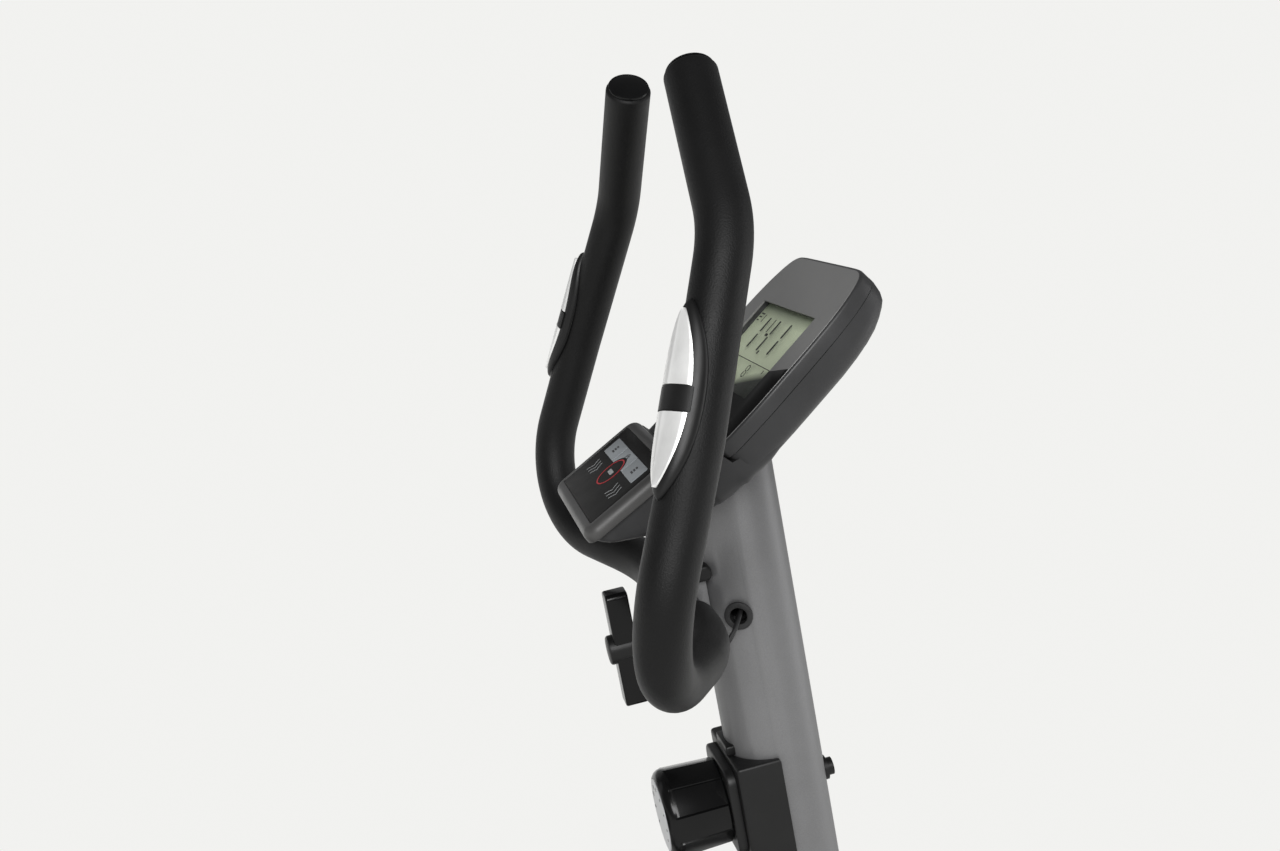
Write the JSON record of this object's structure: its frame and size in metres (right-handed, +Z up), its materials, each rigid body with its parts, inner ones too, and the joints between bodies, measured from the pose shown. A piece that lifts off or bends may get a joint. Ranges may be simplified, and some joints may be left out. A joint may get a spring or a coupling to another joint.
{
  "type": "exercise bike",
  "caption": "Upright home exercise bike: leaning dark metal post, foam horn handlebar with pulse sensors, tilted console, knob-set magnetic brake, covered drive, padded saddle.",
  "frame": {"origin": "on the floor, at the centre of the whole bike's outline seen from above", "axes": "+X forward (away from the rider), +Y to the rider's left, +Z up"},
  "size_m": [0.908, 0.4746, 1.3446],
  "materials": {
    "dark_metal": "semi-gloss metallic dark grey powder coat",
    "zinc_steel": "zinc plated",
    "black_plastic": "fine moulded grain",
    "crank_paint": "black gloss paint",
    "pedal_plastic": "coarse moulded grain",
    "steel": "turned",
    "strap_rubber": "satin",
    "cast_iron": "machined rim",
    "belt_rubber": "ribbed",
    "cord_rubber": "smooth",
    "chrome": "polished",
    "gloss_black": "gloss",
    "vinyl": "grained vinyl",
    "bar_paint": "semi-gloss",
    "foam": "matt foam skin",
    "polished_steel": "polished plate",
    "label": "satin disc",
    "face_grey": "satin grey",
    "lcd": "liquid crystal panel",
    "window": "clear",
    "keypad_black": "printed film",
    "key_grey": "satin silver grey",
    "board": "circuit board"
  },
  "bodies": {
    "frame": {"main_beam": "dark_metal", "seat_tube": "dark_metal", "front_stabiliser": "dark_metal", "rear_stabiliser": "dark_metal", "stabiliser_bolts": "zinc_steel", "front_caps": "black_plastic", "post": "dark_metal", "post_bolts": "zinc_steel", "housing_left": "black_plastic", "housing_right": "black_plastic", "cover_screws": "zinc_steel", "bearings": "zinc_steel", "drive_pins": "zinc_steel", "drive_belt": "belt_rubber", "brake_cable": "cord_rubber", "speed_sensor": "black_plastic", "seat_bush": "black_plastic", "clamp_strap": "zinc_steel", "clamp_cover": "gloss_black", "wire_grommet": "cord_rubber", "sensor_wires": "cord_rubber", "knob_saddle": "gloss_black", "console_back": "black_plastic", "console_face": "face_grey", "lcd_screen": "lcd", "lcd_window": "window", "keypad_frame": "face_grey", "keypad_film": "keypad_black", "console_board": "board"},
    "crank": {"crank_axle": "steel", "belt_pulley": "black_plastic", "crank_left": "crank_paint", "crank_right": "crank_paint", "pedal_spindles": "steel"},
    "pedal_left": {"pedal_left": "pedal_plastic", "strap_left": "strap_rubber"},
    "pedal_right": {"pedal_right": "pedal_plastic", "strap_right": "strap_rubber"},
    "flywheel": {"flywheel": "cast_iron"},
    "brake_arm": {"brake_bracket": "zinc_steel"},
    "resistance_knob": {"resistance_knob": "gloss_black", "knob_label": "label"},
    "clamp_knob": {"clamp_knob": "gloss_black"},
    "handlebar": {"handlebar": "bar_paint", "grip_left": "foam", "grip_right": "foam", "end_plugs": "gloss_black", "sensor_cases": "black_plastic", "sensor_plates": "polished_steel"},
    "seat": {"seat_post": "chrome", "saddle_base": "black_plastic", "saddle_cushion": "vinyl"},
    "seat_pin": {"seat_pin": "gloss_black"},
    "button_left": {"button_left": "key_grey"},
    "button_middle": {"button_middle": "key_grey"},
    "button_right": {"button_right": "key_grey"},
    "wheel_left": {"wheel_left": "black_plastic"},
    "wheel_right": {"wheel_right": "black_plastic"},
    "rear_cap_left": {"rear_cap_left": "black_plastic"},
    "rear_cap_right": {"rear_cap_right": "black_plastic"}
  },
  "joints": [
    {"name": "crank_spin", "type": "hinge", "parent": "frame", "child": "crank", "pos_m": [0, 0, 0.29], "axis": [0, 1, 0], "continuous": true},
    {"name": "pedal_left_spin", "type": "hinge", "parent": "crank", "child": "pedal_left", "pos_m": [-0.13396, 0, 0.39466], "axis": [0, 1, 0], "continuous": true},
    {"name": "pedal_right_spin", "type": "hinge", "parent": "crank", "child": "pedal_right", "pos_m": [0.13396, 0, 0.18534], "axis": [0, 1, 0], "continuous": true},
    {"name": "flywheel_spin", "type": "hinge", "parent": "frame", "child": "flywheel", "pos_m": [0.165, 0, 0.27], "axis": [0, 1, 0], "continuous": true},
    {"name": "knob_turn", "type": "hinge", "parent": "frame", "child": "resistance_knob", "pos_m": [0.18538, 0, 0.824], "axis": [-0.9823, 0, -0.1874], "range_deg": [0, 280]},
    {"name": "brake_swing", "type": "hinge", "parent": "frame", "child": "brake_arm", "pos_m": [0.095, 0, 0.366], "axis": [0, -1, 0], "range_deg": [0, 8]},
    {"name": "clamp_turn", "type": "hinge", "parent": "frame", "child": "clamp_knob", "pos_m": [0.1455, 0, 0.95193], "axis": [-0.9823, 0, -0.1874], "range_deg": [0, 720]},
    {"name": "bar_tilt", "type": "hinge", "parent": "frame", "child": "handlebar", "pos_m": [0.141, 0, 0.9755], "axis": [0, 1, 0], "range_deg": [-20, 15]},
    {"name": "seat_slide", "type": "slide", "parent": "frame", "child": "seat", "axis": [-0.2924, 0, 0.9563], "range_m": [0, 0.15]},
    {"name": "pin_slide", "type": "slide", "parent": "frame", "child": "seat_pin", "axis": [-0.9563, 0, -0.2924], "range_m": [0, 0.01], "stiffness_N_per_m": 800},
    {"name": "wheel_left_spin", "type": "hinge", "parent": "frame", "child": "wheel_left", "pos_m": [0.431, 0.212, 0.0255], "axis": [0, 1, 0], "continuous": true},
    {"name": "wheel_right_spin", "type": "hinge", "parent": "frame", "child": "wheel_right", "pos_m": [0.431, -0.212, 0.0255], "axis": [0, 1, 0], "continuous": true},
    {"name": "rear_cap_left_turn", "type": "hinge", "parent": "frame", "child": "rear_cap_left", "pos_m": [-0.426, 0.2, 0.034], "axis": [0, 1, 0], "range_deg": [0, 30]},
    {"name": "rear_cap_right_turn", "type": "hinge", "parent": "frame", "child": "rear_cap_right", "pos_m": [-0.426, -0.2, 0.034], "axis": [0, 1, 0], "range_deg": [0, 30]},
    {"name": "button_left_press", "type": "slide", "parent": "frame", "child": "button_left", "axis": [0.6293, 0, -0.7771], "range_m": [0, 0.0008], "stiffness_N_per_m": 2000},
    {"name": "button_middle_press", "type": "slide", "parent": "frame", "child": "button_middle", "axis": [0.6293, 0, -0.7771], "range_m": [0, 0.0008], "stiffness_N_per_m": 2000},
    {"name": "button_right_press", "type": "slide", "parent": "frame", "child": "button_right", "axis": [0.6293, 0, -0.7771], "range_m": [0, 0.0008], "stiffness_N_per_m": 2000}
  ],
  "couplings": [
    {"joint": "flywheel_spin", "follows": "crank_spin", "ratio": 7.2414},
    {"joint": "brake_swing", "follows": "knob_turn", "ratio": 0.028571}
  ]
}
